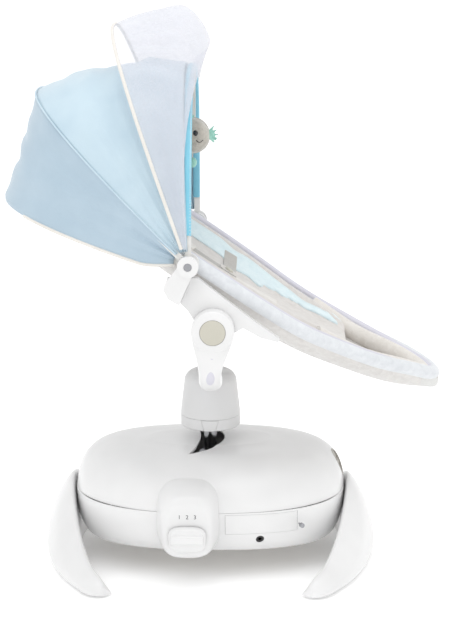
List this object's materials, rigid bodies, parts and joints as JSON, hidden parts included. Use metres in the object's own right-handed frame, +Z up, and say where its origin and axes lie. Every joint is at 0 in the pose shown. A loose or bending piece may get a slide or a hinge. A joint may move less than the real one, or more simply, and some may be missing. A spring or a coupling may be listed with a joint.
{
  "type": "baby swing",
  "caption": "Electric baby swing: oval housing on curved feet, swinging column with forked arms, reclining padded seat, folding canopy with insect net and a hanging toy.",
  "frame": {"origin": "on the floor, under the middle of the object's outer box at rest", "axes": "+X towards the baby's feet, +Y to the side, +Z up"},
  "size_m": [0.7329, 0.5008, 0.9288],
  "materials": {
    "shell_white": "satin moulded ABS",
    "cup_white": "satin moulded ABS",
    "button_greige": "matte soft-touch plastic",
    "tube_lavender": "powder-coated steel tube",
    "chrome_steel": "polished",
    "steel": "zinc plated",
    "dark_rubber": "matte rubber",
    "black_plastic": "moulded",
    "grey_plastic": "moulded",
    "nylon_white": "moulded nylon",
    "copper": "enamelled copper winding",
    "board_green": "solder mask",
    "cell_wrap": "printed sleeve",
    "canopy_blue": "coated polyester",
    "net_white": "fine polyester mesh",
    "bow_white": "flat nylon strip",
    "seat_velour": "brushed velour",
    "insert_grey": "soft jersey pad",
    "cream_pad": "padded jersey",
    "webbing_grey": "woven webbing",
    "plush_grey": "short pile plush",
    "ribbon_cream": "woven ribbon",
    "mint": "felt"
  },
  "bodies": {
    "base": {"base_dome": "shell_white", "base_lower_shell": "shell_white", "battery_door": "shell_white", "battery_door_screw": "steel", "dc_socket": "black_plastic", "base_bottom_plate": "grey_plastic", "battery_box": "black_plastic", "batteries": "cell_wrap", "dial_surround": "grey_plastic", "selector_pod": "shell_white", "pivot_chassis": "nylon_white", "arm_pivot_axle": "steel", "drive_coil": "copper", "circuit_board": "board_green", "speaker": "black_plastic", "case_screws": "steel", "foot_front": "shell_white", "foot_rear": "shell_white", "foot_pads": "dark_rubber"},
    "swing_arm": {"swing_arm": "steel", "arm_bearing": "nylon_white", "drive_magnet": "steel", "post": "chrome_steel", "cup_ring": "cup_white", "post_nut": "steel"},
    "release_button": {"release_button": "cup_white"},
    "turntable": {"cup_body": "cup_white", "turn_bearing": "nylon_white", "fork_tube": "tube_lavender", "hub_shell_near": "shell_white", "hub_shell_far": "shell_white", "recline_pins": "steel"},
    "recline_button_near": {"recline_button_near": "button_greige"},
    "recline_button_far": {"recline_button_far": "button_greige"},
    "seat": {"side_bracket_near": "shell_white", "side_bracket_far": "shell_white", "joint_block_near": "shell_white", "joint_block_far": "shell_white", "canopy_pivot_screws": "steel", "seat_frame_tube": "tube_lavender", "frame_bolts": "steel", "seat_sling": "seat_velour", "seat_insert": "insert_grey", "head_pillow": "cream_pad", "shoulder_straps": "webbing_grey", "waist_straps": "webbing_grey", "crotch_strap": "cream_pad", "harness_buckle": "grey_plastic", "rear_hoop": "bow_white", "canopy_rear_panel": "canopy_blue"},
    "mid_bow": {"mid_bow": "bow_white", "canopy_front_panel": "canopy_blue"},
    "front_bow": {"front_bow": "bow_white"},
    "net_hoop": {"net_hoop": "ribbon_cream", "insect_net": "net_white"},
    "toy": {"plush_toy": "plush_grey", "toy_ribbon": "ribbon_cream", "toy_drop": "mint"},
    "selector_slider": {"selector_slider": "shell_white"},
    "control_dial": {"control_dial": "grey_plastic"}
  },
  "joints": [
    {"name": "swing", "type": "hinge", "parent": "base", "child": "swing_arm", "pos_m": [-0.153, 0, 0.15], "axis": [0, 0, 1], "range_deg": [-18, 18]},
    {"name": "release_press", "type": "slide", "parent": "swing_arm", "child": "release_button", "axis": [0, 1, 0], "range_m": [0, 0.0025], "stiffness_N_per_m": 600},
    {"name": "seat_turn", "type": "hinge", "parent": "swing_arm", "child": "turntable", "pos_m": [-0.028, 0, 0.26], "axis": [0, 0, 1], "range_deg": [-90, 90]},
    {"name": "recline_press_near", "type": "slide", "parent": "turntable", "child": "recline_button_near", "axis": [0, 1, 0], "range_m": [0, 0.003], "stiffness_N_per_m": 900},
    {"name": "recline_press_far", "type": "slide", "parent": "turntable", "child": "recline_button_far", "axis": [0, -1, 0], "range_m": [0, 0.003], "stiffness_N_per_m": 900},
    {"name": "recline", "type": "hinge", "parent": "turntable", "child": "seat", "pos_m": [-0.018, 0, 0.438], "axis": [0, 1, 0], "range_deg": [-16, 0]},
    {"name": "canopy_fold", "type": "hinge", "parent": "seat", "child": "mid_bow", "pos_m": [-0.057, 0, 0.543], "axis": [0, 1, 0], "range_deg": [-22, 0], "deforming": ["canopy_rear_panel", "canopy_front_panel"]},
    {"name": "front_bow_fold", "type": "hinge", "parent": "mid_bow", "child": "front_bow", "pos_m": [-0.057, 0, 0.543], "axis": [0, 1, 0], "range_deg": [-22, 0]},
    {"name": "net_pull", "type": "hinge", "parent": "front_bow", "child": "net_hoop", "pos_m": [-0.057, 0, 0.543], "axis": [0, 1, 0], "range_deg": [0, 125], "deforming": ["insect_net"]},
    {"name": "toy_swing", "type": "hinge", "parent": "front_bow", "child": "toy", "pos_m": [-0.057, 0, 0.834], "axis": [0, 1, 0], "range_deg": [-20, 20]},
    {"name": "selector_slide", "type": "slide", "parent": "base", "child": "selector_slider", "axis": [1, 0, 0], "range_m": [-0.0127, 0.0127]},
    {"name": "dial_turn", "type": "hinge", "parent": "base", "child": "control_dial", "pos_m": [0.1935, 0, 0.157], "axis": [0.9272, 0, 0.3746], "range_deg": [-135, 135]}
  ],
  "couplings": [
    {"joint": "front_bow_fold", "follows": "canopy_fold", "ratio": 1}
  ]
}
